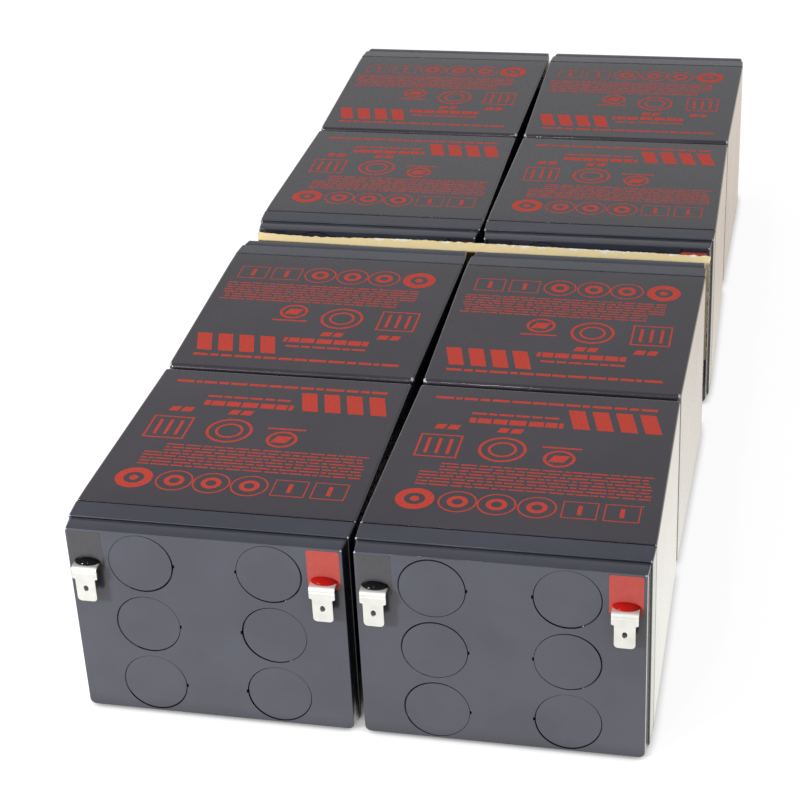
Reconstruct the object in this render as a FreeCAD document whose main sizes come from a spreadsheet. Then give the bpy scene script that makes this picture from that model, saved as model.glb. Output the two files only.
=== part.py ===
import FreeCAD, Part
import math
import os
import re

import Sketcher

# A battery cartridge for an uninterruptible power supply: eight small sealed
# lead-acid batteries lying on their long sides, in two blocks of four. In each
# block the batteries stand base to base, so that one pair of lids faces the
# front and the other pair faces the back.
#
# Each battery's pieces are drawn in that battery's own frame: X across its
# width from the left side, Z up through its thickness from the floor, and Y
# along its height, from the lid's face at Y = 0 to the base. Placements then
# put the pieces of all eight where they lie.

doc = FreeCAD.newDocument("battery_cartridge")
sheet = doc.addObject("Spreadsheet::Sheet", "dims")

DIMENSIONS = [
    # one container
    ("container_width", 90.0), ("container_thickness", 70.0), ("container_length", 103.0),
    ("corner_cut", 1.4), ("jar_wall", 2.5), ("partition", 1.5), ("base_wall", 2.5),
    ("collar_length", 8.0), ("base_inset", 1.0), ("base_bevel", 1.2),
    # its lid: a skirt against the jar, and a narrower rim round the face
    ("lid_depth", 14.4), ("rim_depth", 6.0), ("skirt_inset", 0.3), ("rim_inset", 1.2),
    ("lid_face_wall", 3.4), ("lid_wall", 1.8),
    # the six vent covers
    ("vent_diameter", 20.2), ("vent_thickness", 1.8), ("vent_gap", 0.3),
    ("vent_rim_land", 0.7), ("vent_seal_land", 1.8),
    # terminals: resin seals in shallow recesses, and bent tabs through them
    ("seal_side_land", 1.0), ("seal_top_land", 1.5), ("seal_width", 10.2), ("seal_height", 13.0),
    ("seal_thickness", 0.8), ("seal_above_tab", 9.7), ("tab_clearance", 0.1),
    ("tab_thickness", 0.8), ("tab_width", 6.35), ("shoulder_width", 8.1), ("shoulder_height", 5.2),
    ("tab_drop", 13.6), ("tab_standoff", 4.0), ("bend_radius", 0.5), ("tab_hole", 1.6),
    ("hole_above_tip", 5.1), ("tip_bevel", 1.2),
    # plate groups, and the lead links that join them through the partitions
    ("plate_headroom", 5.0), ("plate_clearance", 0.4),
    ("link_width", 4.0), ("link_thickness", 3.0), ("link_overlap", 4.0), ("link_clearance", 0.1),
    # how the eight batteries lie
    ("front_column_gap", 1.1), ("rear_column_gap", 0.9), ("base_gap", 2.0), ("block_gap", 12.4),
    ("rear_shift", 0.9), ("rear_turn", 0.36),
    # adhesive foam pads between neighbours
    ("base_pad_width", 60.0), ("base_pad_height", 44.0),
    ("side_pad_length", 6.0), ("side_pad_height", 44.0),
    # the insulating strip over the rear block's front terminals
    ("strip_side_margin", 0.6), ("strip_height", 45.0), ("strip_thickness", 0.5),
    ("strip_below_top", 1.5), ("strip_tilt", 0.65),
]
for row, (alias, value) in enumerate(DIMENSIONS, start=1):
    sheet.set("A%d" % row, alias)
    sheet.set("B%d" % row, str(value))
    sheet.setAlias("B%d" % row, alias)
doc.recompute()

ALIASES = {alias for alias, _ in DIMENSIONS}
VENT_SIDES = 16      # the round covers repeat 48 times, so they are drawn with few faces
HOLE_SIDES = 12      # and so are the holes of the sixteen tabs
ROWS = ("row1", "row2", "row3", "row4")
SIDES = ("left", "right")
UP = FreeCAD.Vector(0, 0, 1)
TINY = 0.01          # a distance under which two heights count as one


def size(alias):
    """One driving dimension, for the placing that this script does itself."""
    return float(sheet.get(alias))


def bind(thing, prop, expression):
    """Bind a property to a formula on the sheet's dimensions."""
    formula = re.sub(r"[a-z][a-z_]+", lambda word: "dims." + word[0] if word[0] in ALIASES else word[0],
                     expression)
    thing.setExpression(prop, formula)


# ---- sketches and features ---------------------------------------------------

def new_body(label):
    body = doc.addObject("PartDesign::Body", label)
    body.Label = label
    return body


def sketch_on(body, role, depth="0"):
    """A sketch on a base plane of its own body, moved along the plane's normal."""
    sketch = body.newObject("Sketcher::SketchObject", "Sketch")
    plane = [entry for entry in body.Origin.OriginFeatures if entry.Role == role][0]
    sketch.AttachmentSupport = [(plane, "")]
    sketch.MapMode = "FlatFace"
    bind(sketch, "AttachmentOffset.Base.z", depth)
    return sketch


def sketch_across(body, depth="0"):
    """A sketch across a battery's height, at a given depth behind the lid's face."""
    return sketch_on(body, "XZ_Plane", "-(%s)" % depth)


def hold(sketch, name, formula, *constraint):
    """A named distance, radius or diameter in a sketch, bound to a formula."""
    index = sketch.addConstraint(Sketcher.Constraint(*constraint))
    sketch.renameConstraint(index, name)
    bind(sketch, "Constraints." + name, formula)


def vector(x, y):
    return FreeCAD.Vector(x, y, 0)


def rectangle(sketch, left, low, width, height, tag=""):
    """A rectangle from its lower left corner: a small one, which its constraints stretch."""
    corners = [vector(1, 1), vector(3, 1), vector(3, 2), vector(1, 2)]
    first = sketch.GeometryCount
    for index in range(4):
        sketch.addGeometry(Part.LineSegment(corners[index], corners[(index + 1) % 4]), False)
    for index in range(4):
        following = first + (index + 1) % 4
        sketch.addConstraint(Sketcher.Constraint("Coincident", first + index, 2, following, 1))
        kind = "Horizontal" if index % 2 == 0 else "Vertical"
        sketch.addConstraint(Sketcher.Constraint(kind, first + index))
    hold(sketch, "left" + tag, left, "DistanceX", -1, 1, first, 1, 1.0)
    hold(sketch, "low" + tag, low, "DistanceY", -1, 1, first, 1, 1.0)
    hold(sketch, "width" + tag, width, "DistanceX", first, 1, first, 2, 2.0)
    hold(sketch, "height" + tag, height, "DistanceY", first + 1, 1, first + 1, 2, 1.0)


def outline(sketch, inset):
    """The container's outline set in by a distance all round, with its corners cut."""
    near = "(%s)" % inset
    far_x = "(container_width - %s)" % near
    far_z = "(container_thickness - %s)" % near
    corners = [(near, near, 1, 1), (far_x, near, -1, 1), (far_x, far_z, -1, -1), (near, far_z, 1, -1)]
    points = []
    for number, (x, z, right, up) in enumerate(corners):
        along = (x + " + %d * corner_cut" % right, z)
        upward = (x, z + " + %d * corner_cut" % up)
        points += [upward, along] if number % 2 == 0 else [along, upward]
    wide, high, cut = size("container_width"), size("container_thickness"), size("corner_cut")
    starts = [vector(0, cut), vector(cut, 0), vector(wide - cut, 0), vector(wide, cut),
              vector(wide, high - cut), vector(wide - cut, high), vector(cut, high), vector(0, high - cut)]
    for number, start in enumerate(starts):
        sketch.addGeometry(Part.LineSegment(start, starts[(number + 1) % 8]), False)
    for number, (x, z) in enumerate(points):
        sketch.addConstraint(Sketcher.Constraint("Coincident", number - 1 if number else 7, 2, number, 1))
        hold(sketch, "x%d" % number, x, "DistanceX", -1, 1, number, 1, starts[number].x)
        hold(sketch, "z%d" % number, z, "DistanceY", -1, 1, number, 1, starts[number].y)


def round_prism(body, x, z, depth, length, diameter, sides):
    """Cut a many-sided round hole along the battery's height, starting at a depth."""
    tool = body.newObject("PartDesign::SubtractivePrism", "RoundCut")
    plane = [entry for entry in body.Origin.OriginFeatures if entry.Role == "XZ_Plane"][0]
    tool.AttachmentSupport = [(plane, "")]
    tool.MapMode = "FlatFace"
    tool.Polygon = sides
    bind(tool, "Circumradius", "(%s) / 2" % diameter)
    bind(tool, "Height", length)
    bind(tool, "AttachmentOffset.Base.x", x)
    bind(tool, "AttachmentOffset.Base.y", z)
    bind(tool, "AttachmentOffset.Base.z", "-(%s) - (%s)" % (depth, length))
    return tool


def bevel(body, feature, chosen, length):
    """Chamfer the edges of a feature that a test picks out."""
    doc.recompute()
    names = ["Edge%d" % (number + 1) for number, edge in enumerate(feature.Shape.Edges) if chosen(edge)]
    cut = body.newObject("PartDesign::Chamfer", "Bevel")
    cut.Base = (feature, names)
    bind(cut, "Size", length)
    return cut


def runs_along_height(edge):
    """True for an edge that goes from a face towards the base, square or slightly tapered."""
    return abs(edge.tangentAt(edge.FirstParameter).y) > 0.9


def pad(body, sketch, length):
    """Add material from a sketch across the battery, towards its base."""
    feature = body.newObject("PartDesign::Pad", "Pad")
    feature.Profile = sketch
    bind(feature, "Length", length)
    feature.Reversed = True
    return feature


def pocket(body, sketch, length, towards_face=False):
    """Cut from a sketch across the battery, towards its base or its lid's face."""
    feature = body.newObject("PartDesign::Pocket", "Pocket")
    feature.Profile = sketch
    bind(feature, "Length", length)
    feature.Reversed = towards_face
    return feature


# ---- the cells: two columns of three -----------------------------------------

CELL_WIDTH = "(container_width - 2 * jar_wall - partition) / 2"
CELL_HEIGHT = "(container_thickness - 2 * jar_wall - 2 * partition) / 3"
CELLS = [(column, level) for column in range(2) for level in range(3)]


def cell_left(column):
    return "jar_wall + %d * (%s + partition)" % (column, CELL_WIDTH)


def cell_low(level):
    return "jar_wall + %d * (%s + partition)" % (level, CELL_HEIGHT)


# ---- the pieces of one battery -----------------------------------------------

def jar(label):
    """The moulded jar: a straight collar below the lid, then a slight taper to the base."""
    body = new_body(label)
    collar = sketch_across(body, "lid_depth")
    outline(collar, "0")
    pad(body, collar, "collar_length")
    sections = []
    for depth, inset in (("lid_depth + collar_length", "0"),
                         ("container_length - base_bevel", "base_inset"),
                         ("container_length", "base_inset + base_bevel")):
        section = sketch_across(body, depth)
        outline(section, inset)
        sections.append(section)
    taper = body.newObject("PartDesign::AdditiveLoft", "Taper")
    taper.Profile = sections[0]
    taper.Sections = sections[1:]
    taper.Ruled = True
    cells = sketch_across(body, "lid_depth")
    for column, level in CELLS:
        rectangle(cells, cell_left(column), cell_low(level), CELL_WIDTH, CELL_HEIGHT,
                  "_%d%d" % (column, level))
    pocket(body, cells, "container_length - lid_depth - base_wall")
    notches = sketch_across(body, "lid_depth")
    for number, (x, z, across, up) in enumerate(link_places("link_clearance")):
        rectangle(notches, x, z, across, up, "_%d" % number)
    pocket(body, notches, "plate_headroom + link_clearance")
    return body


def link_places(clearance):
    """The links' corners and sizes across the battery, each crossing one partition.

    They join the six cells in a chain: down the left column, across, and up the right one.
    """
    wide = "(link_width + 2 * (%s))" % clearance
    reach = "(partition + 2 * link_overlap)"
    for column in range(2):
        for level in range(2):
            yield ("%s + (%s) / 2 - %s / 2" % (cell_left(column), CELL_WIDTH, wide),
                   "%s - partition - link_overlap" % cell_low(level + 1), wide, reach)
    yield ("%s - partition - link_overlap" % cell_left(1),
           "%s + (%s) / 2 - %s / 2" % (cell_low(0), CELL_HEIGHT, wide), reach, wide)


def links(label):
    """The five lead links that join the cells in series, lying on the plate groups."""
    bars = []
    for x, z, across, up in link_places("0"):
        bar = doc.addObject("Part::Box", "Link")
        bind(bar, "Length", across)
        bind(bar, "Height", up)
        bind(bar, "Width", "link_thickness")
        bind(bar, "Placement.Base.x", x)
        bind(bar, "Placement.Base.y", "lid_depth + plate_headroom - link_thickness")
        bind(bar, "Placement.Base.z", z)
        bars.append(bar)
    return together(label, bars)


def vent_places():
    """The centres of the six vents, as formulas for X and Z.

    They keep a land of lid between themselves and the rim, and between themselves and the seals.
    """
    in_from_side = "(rim_inset + seal_side_land + seal_width + vent_seal_land + vent_gap + vent_diameter / 2)"
    in_from_rim = "(rim_inset + vent_rim_land + vent_gap + vent_diameter / 2)"
    for x in (in_from_side, "container_width - " + in_from_side):
        for z in (in_from_rim, "container_thickness / 2", "container_thickness - " + in_from_rim):
            yield x, z


TERMINAL_IN = "(rim_inset + seal_side_land + seal_width / 2)"
TERMINALS = {"negative": TERMINAL_IN, "positive": "(container_width - %s)" % TERMINAL_IN}
TAB_LEVEL = "(container_thickness - rim_inset - seal_top_land - seal_above_tab)"
SEAL_LOW = TAB_LEVEL + " + seal_above_tab - seal_height"


def tab_slot(sketch, middle, clearance, tag=""):
    """The slot that a tab passes through."""
    rectangle(sketch, "%s - shoulder_width / 2 - %s" % (middle, clearance),
              "%s - tab_thickness / 2 - %s" % (TAB_LEVEL, clearance),
              "shoulder_width + 2 * (%s)" % clearance, "tab_thickness + 2 * (%s)" % clearance, tag)


def lid(label):
    """The moulded lid: stepped rim, vent recesses, terminal recesses and headspaces."""
    body = new_body(label)
    rim = sketch_across(body)
    outline(rim, "rim_inset")
    pad(body, rim, "rim_depth")
    skirt = sketch_across(body, "rim_depth")
    outline(skirt, "skirt_inset")
    pad(body, skirt, "lid_depth - rim_depth")

    headspaces = sketch_across(body, "lid_depth")
    margin = "(rim_inset + lid_wall)"
    width = "((container_width - partition) / 2 - %s)" % margin
    lows = (margin, cell_low(1), cell_low(2))
    heights = ("%s + %s - %s" % (cell_low(0), CELL_HEIGHT, margin), CELL_HEIGHT,
               "container_thickness - %s - (%s)" % (margin, cell_low(2)))
    for column, level in CELLS:
        left = margin if column == 0 else cell_left(1)
        rectangle(headspaces, left, lows[level], width, heights[level], "_%d%d" % (column, level))
    pocket(body, headspaces, "lid_depth - lid_face_wall", towards_face=True)

    for x, z in vent_places():
        round_prism(body, x, z, "0", "vent_thickness", "vent_diameter + 2 * vent_gap", VENT_SIDES)

    recesses = sketch_across(body)
    slots = sketch_across(body, "seal_thickness")
    for tag, middle in TERMINALS.items():
        rectangle(recesses, middle + " - seal_width / 2", SEAL_LOW, "seal_width", "seal_height",
                  "_" + tag)
        tab_slot(slots, middle, "tab_clearance", "_" + tag)
    pocket(body, recesses, "seal_thickness")
    pocket(body, slots, "lid_face_wall")
    return body


def seal(label, middle):
    """The coloured resin that fills a terminal's recess, moulded round the tab."""
    body = new_body(label)
    fill = sketch_across(body)
    rectangle(fill, middle + " - seal_width / 2", SEAL_LOW, "seal_width", "seal_height")
    pad(body, fill, "seal_thickness")
    slot = sketch_across(body)
    tab_slot(slot, middle, "0")
    pocket(body, slot, "seal_thickness")
    return body


def tab(label, middle):
    """A terminal tab: a strip from the plates out through the lid, bent down over its face."""
    body = new_body(label)
    line = sketch_on(body, "YZ_Plane", middle)
    half = size("tab_thickness") / 2
    bend = size("bend_radius") + half
    inner = size("lid_depth") + size("plate_headroom")
    front = half - size("tab_standoff")
    level = (size("container_thickness") - size("rim_inset") - size("seal_top_land")
             - size("seal_above_tab"))
    drop = size("tab_drop") - half
    line.addGeometry(Part.LineSegment(vector(inner, level), vector(front + bend, level)), False)
    turn = Part.Circle(vector(front + bend, level - bend), UP, bend)
    line.addGeometry(Part.ArcOfCircle(turn, math.pi / 2, math.pi), False)
    line.addGeometry(Part.LineSegment(vector(front, level - bend), vector(front, level - drop)), False)
    line.addConstraint(Sketcher.Constraint("Horizontal", 0))
    line.addConstraint(Sketcher.Constraint("Vertical", 2))
    line.addConstraint(Sketcher.Constraint("Tangent", 0, 2, 1, 1))
    line.addConstraint(Sketcher.Constraint("Tangent", 1, 2, 2, 1))
    hold(line, "bend", "bend_radius + tab_thickness / 2", "Radius", 1, bend)
    hold(line, "level", TAB_LEVEL, "DistanceY", -1, 1, 0, 1, level)
    hold(line, "inner", "lid_depth + plate_headroom", "DistanceX", -1, 1, 0, 1, inner)
    hold(line, "standoff", "tab_standoff - tab_thickness / 2", "DistanceX", 2, 1, -1, 1, -front)
    hold(line, "drop", "tab_drop - tab_thickness / 2", "DistanceY", 2, 2, 0, 1, drop)
    section = sketch_across(body, "lid_depth + plate_headroom")
    tab_slot(section, middle, "0")
    strip = body.newObject("PartDesign::AdditivePipe", "Strip")
    strip.Profile = section
    strip.Spine = (line, [])
    blade_height = "tab_drop - shoulder_height"
    tip = TAB_LEVEL + " + tab_thickness / 2 - tab_drop"
    cheek = "(shoulder_width - tab_width) / 2"
    trim = sketch_across(body, "-tab_standoff")
    rectangle(trim, middle + " - shoulder_width / 2", tip, cheek, blade_height, "_left")
    rectangle(trim, middle + " + tab_width / 2", tip, cheek, blade_height, "_right")
    pocket(body, trim, "tab_thickness")
    drilled = round_prism(body, middle, tip + " + hole_above_tip", "-tab_standoff", "tab_thickness",
                          "tab_hole", HOLE_SIDES)
    doc.recompute()
    low = min(end.Point.z for end in drilled.Shape.Vertexes) + TINY
    bevel(body, drilled, lambda edge: runs_along_height(edge)
          and max(end.Point.z for end in edge.Vertexes) < low, "tip_bevel")
    return body


def plates(label):
    """The six plate groups, each a tight stack of plates and glass mat in its own cell."""
    stacks = []
    for column, level in CELLS:
        stack = doc.addObject("Part::Box", "Stack")
        bind(stack, "Length", CELL_WIDTH + " - 2 * plate_clearance")
        bind(stack, "Height", CELL_HEIGHT + " - 2 * plate_clearance")
        bind(stack, "Width", "container_length - lid_depth - plate_headroom - base_wall")
        bind(stack, "Placement.Base.x", cell_left(column) + " + plate_clearance")
        bind(stack, "Placement.Base.y", "lid_depth + plate_headroom")
        bind(stack, "Placement.Base.z", cell_low(level) + " + plate_clearance")
        stacks.append(stack)
    return together(label, stacks)


def vent_covers(label):
    """The six round covers, flush with the lid's face."""
    covers = []
    for x, z in vent_places():
        cover = doc.addObject("Part::Prism", "Cover")
        cover.Polygon = VENT_SIDES
        bind(cover, "Circumradius", "vent_diameter / 2")
        bind(cover, "Height", "vent_thickness")
        cover.Placement.Rotation = FreeCAD.Rotation(FreeCAD.Vector(1, 0, 0), -90)
        bind(cover, "Placement.Base.x", x)
        bind(cover, "Placement.Base.z", z)
        covers.append(cover)
    return together(label, covers)


def together(label, pieces):
    group = doc.addObject("Part::Compound", label)
    group.Label = label
    group.Links = pieces
    return group


# ---- where each piece lies ---------------------------------------------------

def battery_place(row, side):
    """The place of one battery: rows 1 and 3 face the front, rows 2 and 4 the back."""
    gap = size("front_column_gap") if row < 2 else size("rear_column_gap")
    wide = size("container_width")
    left = -gap / 2 - wide if side == "left" else gap / 2
    inside = FreeCAD.Placement(FreeCAD.Vector(left, 0, 0), FreeCAD.Rotation())
    if row % 2 == 1:
        depth = 2 * size("container_length") + size("base_gap")
        inside = FreeCAD.Placement(FreeCAD.Vector(left + wide, depth, 0), FreeCAD.Rotation(UP, 180))
    return block_place(row // 2) * inside


def block_place(block):
    """The place of a block of four: the rear one stands a little turned and to one side."""
    if block == 0:
        return FreeCAD.Placement()
    depth = 2 * size("container_length") + size("base_gap") + size("block_gap")
    return FreeCAD.Placement(FreeCAD.Vector(size("rear_shift"), depth, 0),
                             FreeCAD.Rotation(UP, size("rear_turn")))


placed = []      # every object that has a place of its own, with that place
nodes = []       # every sub-part that is written


def put(thing, place):
    placed.append((thing, place))
    return thing


def foam_pad(across, along, height, middle_x, middle_y, block):
    """One adhesive foam pad, sized by three dimensions, with its middle on a point of its block."""
    foam = doc.addObject("Part::Box", "Foam")
    bind(foam, "Length", across)
    bind(foam, "Width", along)
    bind(foam, "Height", height)
    corner = FreeCAD.Vector(middle_x - size(across) / 2, middle_y - size(along) / 2,
                            (size("container_thickness") - size(height)) / 2)
    return put(foam, block_place(block) * FreeCAD.Placement(corner, FreeCAD.Rotation()))


lids, covers, cell_links, seals = [], [], [], {"negative": [], "positive": []}
for row, row_name in enumerate(ROWS):
    for side in SIDES:
        name = "%s_%s" % (row_name, side)
        place = battery_place(row, side)
        nodes.append(put(jar("jar_" + name), place))
        nodes.append(put(plates("plates_" + name), place))
        lids.append(put(lid("lid_" + name), place))
        covers.append(put(vent_covers("covers_" + name), place))
        cell_links.append(put(links("links_" + name), place))
        for pole, middle in TERMINALS.items():
            nodes.append(put(tab("%s_tab_%s" % (pole, name), middle), place))
            seals[pole].append(put(seal("%s_seal_%s" % (pole, name), middle), place))

base_pads, side_pads = [], []
for block, column_gap in enumerate(("front_column_gap", "rear_column_gap")):
    middle = size("container_length") + size("base_gap") / 2
    beside = (size(column_gap) + size("container_width")) / 2
    reach = middle - size("lid_depth") - size("collar_length") / 2
    for hand in (-1, 1):
        base_pads.append(foam_pad("base_pad_width", "base_gap", "base_pad_height",
                                  hand * beside, middle, block))
        side_pads.append(foam_pad(column_gap, "side_pad_length", "side_pad_height",
                                  0, middle + hand * reach, block))

strip = doc.addObject("Part::Box", "terminal_cover_strip")
bind(strip, "Length", "2 * container_width + rear_column_gap - 2 * strip_side_margin")
bind(strip, "Width", "strip_thickness")
bind(strip, "Height", "strip_height")
top = FreeCAD.Vector(0, -size("tab_standoff") - size("strip_thickness"),
                     size("container_thickness") - size("strip_below_top"))
tilt = FreeCAD.Placement(top, FreeCAD.Rotation(FreeCAD.Vector(0, 1, 0), size("strip_tilt")))
doc.recompute()
corner = FreeCAD.Placement(FreeCAD.Vector(-strip.Length.Value / 2, 0, -size("strip_height")),
                           FreeCAD.Rotation())
nodes.append(put(strip, block_place(1) * tilt * corner))

nodes.append(together("battery_lids", lids))
nodes.append(together("vent_covers", covers))
nodes.append(together("cell_links", cell_links))
nodes.append(together("positive_seals", seals["positive"]))
nodes.append(together("negative_seals", seals["negative"]))
nodes.append(together("foam_base_pads", base_pads))
nodes.append(together("foam_side_pads", side_pads))

# the origin is at the middle of the whole cartridge's footprint, on the floor
for thing, place in placed:
    thing.Placement = place
doc.recompute()
box = FreeCAD.BoundBox()
for node in nodes:
    box.add(node.Shape.BoundBox)
centre = FreeCAD.Placement(FreeCAD.Vector(-box.Center.x, -box.Center.y, -box.ZMin),
                           FreeCAD.Rotation())
for thing, place in placed:
    thing.Placement = centre * place
doc.recompute()

for thing in doc.Objects:
    if "Invalid" in thing.State or "Error" in thing.State:
        users = [user.Label for user in thing.InList]
        raise RuntimeError("%s of %s failed: %s" % (thing.Label, users, thing.State))
os.makedirs("parts", exist_ok=True)
for node in nodes:
    if node.Shape.isNull() or not node.Shape.isValid():
        raise RuntimeError("%s has no valid shape" % node.Label)
    node.Shape.exportStep("parts/%s.step" % node.Label)
print(len(nodes), "nodes,", sum(len(node.Shape.Solids) for node in nodes), "solids")
print("box", [round(value, 2) for value in (box.XLength, box.YLength, box.ZLength)])
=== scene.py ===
# %% [markdown]
# # A battery cartridge for a backup power supply
#
# Eight small sealed lead-acid batteries lie on their long sides, in two blocks of four.
# A battery's size and every battery's place come from the CAD frame, which is loaded first
# and is never moved. This lesson then builds the moulded plastic, the bent terminal tabs, the
# resin round them, the printed marks and a strip of torn card, and gives each one its finish.
# Most pieces are modelled in millimetres in the frame of one battery, and a matrix puts them
# in place in metres.

import math
import random

import bmesh
import bpy
from mathutils import Matrix, Vector, noise


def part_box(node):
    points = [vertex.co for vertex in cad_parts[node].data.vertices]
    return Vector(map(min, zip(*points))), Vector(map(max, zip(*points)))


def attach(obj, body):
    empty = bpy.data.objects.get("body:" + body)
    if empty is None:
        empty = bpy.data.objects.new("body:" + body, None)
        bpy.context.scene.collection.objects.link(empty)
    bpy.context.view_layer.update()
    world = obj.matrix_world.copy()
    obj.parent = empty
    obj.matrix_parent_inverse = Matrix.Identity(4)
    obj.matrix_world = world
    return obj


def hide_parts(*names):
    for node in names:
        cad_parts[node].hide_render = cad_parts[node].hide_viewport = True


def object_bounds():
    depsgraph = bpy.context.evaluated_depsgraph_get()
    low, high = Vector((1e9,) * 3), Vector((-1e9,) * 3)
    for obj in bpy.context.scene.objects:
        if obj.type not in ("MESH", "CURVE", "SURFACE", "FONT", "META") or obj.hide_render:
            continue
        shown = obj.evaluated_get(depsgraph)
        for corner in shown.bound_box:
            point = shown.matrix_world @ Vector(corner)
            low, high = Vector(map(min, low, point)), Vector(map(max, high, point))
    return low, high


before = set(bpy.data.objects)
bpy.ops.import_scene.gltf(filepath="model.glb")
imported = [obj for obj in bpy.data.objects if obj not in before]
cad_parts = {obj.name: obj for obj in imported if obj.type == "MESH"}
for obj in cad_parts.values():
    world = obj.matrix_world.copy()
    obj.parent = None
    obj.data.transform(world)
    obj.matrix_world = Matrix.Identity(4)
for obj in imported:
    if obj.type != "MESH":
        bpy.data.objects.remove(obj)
cad_low, cad_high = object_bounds()
print("CAD box in metres:", [round(side, 4) for side in cad_high - cad_low])

# %% [markdown]
# ## The frame of one battery
#
# A battery is drawn with its lid's face at depth 0, its base at the far depth, and its lower
# side on the floor. X runs across its width from the middle, and Z up through its thickness.
# The front left battery stands square to the frame, so its boxes give the sizes.

# %% Measure one battery
MM = 0.001
ROWS = (1, 2, 3, 4)
SIDES = ("left", "right")
jar_low, jar_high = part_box("jar_row1_left")
lids_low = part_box("battery_lids")[0]
WIDTH = (jar_high.x - jar_low.x) / MM
THICKNESS = (jar_high.z - jar_low.z) / MM
LENGTH = (jar_high.y - lids_low.y) / MM
LID_DEPTH = (jar_low.y - lids_low.y) / MM
print("battery", round(WIDTH, 2), "x", round(THICKNESS, 2), "x", round(LENGTH, 2), "mm")
print("lid", round(LID_DEPTH, 2), "mm deep")


# %% [markdown]
# ## Where each battery lies
#
# The plate groups inside a battery are symmetric about its middle, so the middle of their
# box is the battery's own middle even where a block is turned a little. The line from the
# left battery's middle to the right one's gives that turn. Lids of rows 1 and 3 face the
# front, and lids of rows 2 and 4 face the back.

# %% A matrix for each battery
def middle(node):
    low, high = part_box(node)
    return (low + high) / 2


PLATES_DEPTH = (middle("plates_row1_left").y - lids_low.y) / MM


def battery_place(row, side):
    """The matrix that takes one battery's millimetres to the frame's metres."""
    along = middle("plates_row%d_right" % row) - middle("plates_row%d_left" % row)
    across = along.normalized() if row % 2 else -along.normalized()
    up = Vector((0, 0, 1))
    inward = up.cross(across)
    centre = middle("plates_row%d_%s" % (row, side))
    origin = centre - inward * PLATES_DEPTH * MM - up * centre.z
    turn = Matrix((across, inward, up)).transposed().to_4x4()
    return Matrix.Translation(origin) @ turn @ Matrix.Scale(MM, 4)


PLACES = {(row, side): battery_place(row, side) for row in ROWS for side in SIDES}
for (row, side), place in PLACES.items():
    print("row", row, side, "lid face at y =", round(place.translation.y, 4))

# %% [markdown]
# ## Solids from sections
#
# A moulded jar or lid keeps one outline, a rectangle with rounded corners, and only draws in
# or out along its height. So each is one face, extruded from section to section. Each section
# is a depth and an inset, and an arc of sections rounds an edge over.

# %% Sections and arcs
JAR_RADIUS = 1.0
LID_RADIUS = 0.8
LOWER_RADIUS = 2.0
CORNER_STEPS = 6
ARC_STEPS = 4


def solid_of_sections(sections, upper_radius):
    """A closed solid with rounded corners, from pairs of depth and inset in millimetres."""
    bm = bmesh.new()
    bmesh.ops.create_grid(bm, x_segments=1, y_segments=1, size=0.5)
    bmesh.ops.rotate(bm, verts=bm.verts, matrix=Matrix.Rotation(math.pi / 2, 3, "X"))
    bmesh.ops.scale(bm, verts=bm.verts, vec=(WIDTH, 1, THICKNESS))
    for radius, hand in ((LOWER_RADIUS, -1), (upper_radius, 1)):
        corners = [vert for vert in bm.verts if vert.co.z * hand > THICKNESS / 2 - 0.001]
        bmesh.ops.bevel(bm, geom=corners, affect="VERTICES", offset=radius, segments=CORNER_STEPS,
                        profile=0.5, material=-1)
    wide, high = WIDTH, THICKNESS
    face = next(iter(bm.faces))
    for number, (depth, inset) in enumerate(sections):
        if number:
            made = bmesh.ops.extrude_face_region(bm, geom=[face, *face.edges])["geom"]
            face = [part for part in made if isinstance(part, bmesh.types.BMFace)][0]
        new_wide, new_high = WIDTH - 2 * inset, THICKNESS - 2 * inset
        bmesh.ops.scale(bm, verts=face.verts, vec=(new_wide / wide, 1, new_high / high))
        bmesh.ops.translate(bm, verts=face.verts, vec=(0, depth - face.verts[0].co.y, 0))
        wide, high = new_wide, new_high
    bmesh.ops.translate(bm, verts=bm.verts, vec=(0, 0, THICKNESS / 2))
    bmesh.ops.recalc_face_normals(bm, faces=bm.faces)
    return bm


def rounded_in(depth, inset, radius):
    """Sections that turn from a face at a depth to a side at an inset."""
    angles = [math.pi / 2 * step / ARC_STEPS for step in range(ARC_STEPS + 1)]
    return [(depth + radius * (1 - math.cos(a)), inset + radius * (1 - math.sin(a))) for a in angles]


def rounded_out(depth, inset, radius):
    """Sections that turn from a side at an inset to a face at a depth, which ends the solid."""
    return [(2 * depth - back, inset) for back, inset in reversed(rounded_in(depth, inset, radius))]


# %% [markdown]
# ## Cutting, softening and placing
#
# Recesses are cut with Boolean modifiers, and one cutter can hold several closed shapes, as
# long as they don't touch. On small pieces a narrow Bevel then softens the edges, and a
# Weighted Normal keeps the large flat faces flat beside them. The result is made a plain
# mesh, which each battery gets a copy of.

# %% Helpers for meshes
SHARP_ANGLE = math.radians(40)


def scratch_object(bm, name):
    """A throwaway object from a bmesh, which is freed."""
    mesh = bpy.data.meshes.new(name)
    bm.to_mesh(mesh)
    bm.free()
    made = bpy.data.objects.new(name, mesh)
    bpy.context.scene.collection.objects.link(made)
    return made


def open_edges(mesh):
    """How many edges don't have exactly two faces: none, if the mesh is closed."""
    bm = bmesh.new()
    bm.from_mesh(mesh)
    count = sum(not edge.is_manifold for edge in bm.edges)
    bm.free()
    return count


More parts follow.
